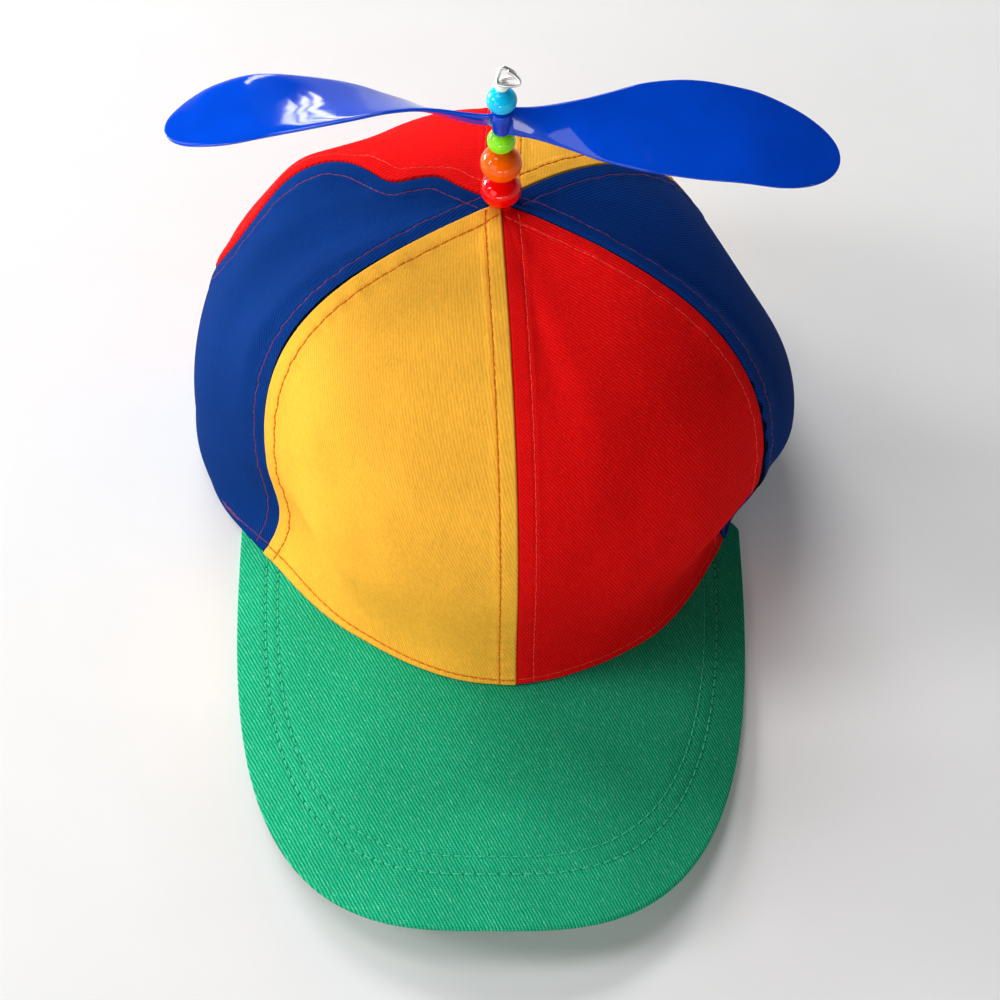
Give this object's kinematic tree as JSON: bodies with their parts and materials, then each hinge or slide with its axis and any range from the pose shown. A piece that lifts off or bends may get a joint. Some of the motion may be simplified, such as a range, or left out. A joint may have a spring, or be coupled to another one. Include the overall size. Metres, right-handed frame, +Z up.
{
  "type": "propeller cap",
  "caption": "Soft panelled twill cap with a stiff bowed peak; a wire spindle on its crown carries plastic beads and a twisted plastic propeller that spins freely.",
  "frame": {"origin": "under the middle of the whole cap, on the surface that its rim rests on", "axes": "+Z up through the crown, the peak towards -Y, the wearer's left towards +X"},
  "size_m": [0.1862, 0.2634, 0.1771],
  "materials": {
    "yellow_twill": "cotton twill with red topstitching",
    "red_twill": "cotton twill with red topstitching",
    "navy_twill": "cotton twill with red topstitching",
    "green_twill": "cotton twill over a stiff board, stitched in lighter green",
    "steel_wire": "bright drawn steel wire",
    "red_plastic": "glossy moulded plastic",
    "orange_plastic": "glossy moulded plastic",
    "light_green_plastic": "glossy moulded plastic",
    "blue_plastic": "glossy moulded plastic",
    "light_blue_plastic": "glossy moulded plastic",
    "white_plastic": "glossy moulded plastic"
  },
  "bodies": {
    "cap": {"panel_front_left": "yellow_twill", "panel_front_right": "red_twill", "panel_side_right": "navy_twill", "panel_back_right": "yellow_twill", "panel_back_left": "red_twill", "panel_side_left": "navy_twill", "peak": "green_twill", "spindle": "steel_wire", "bead_red": "red_plastic", "bead_orange": "orange_plastic", "bead_green": "light_green_plastic", "bead_blue": "light_blue_plastic", "bead_white": "white_plastic"},
    "propeller": {"propeller": "blue_plastic"}
  },
  "joints": [
    {"name": "propeller_spin", "type": "hinge", "parent": "cap", "child": "propeller", "pos_m": [0.00085, 0.0379, 0.1577], "axis": [-0.0087, 0, 1], "continuous": true}
  ]
}
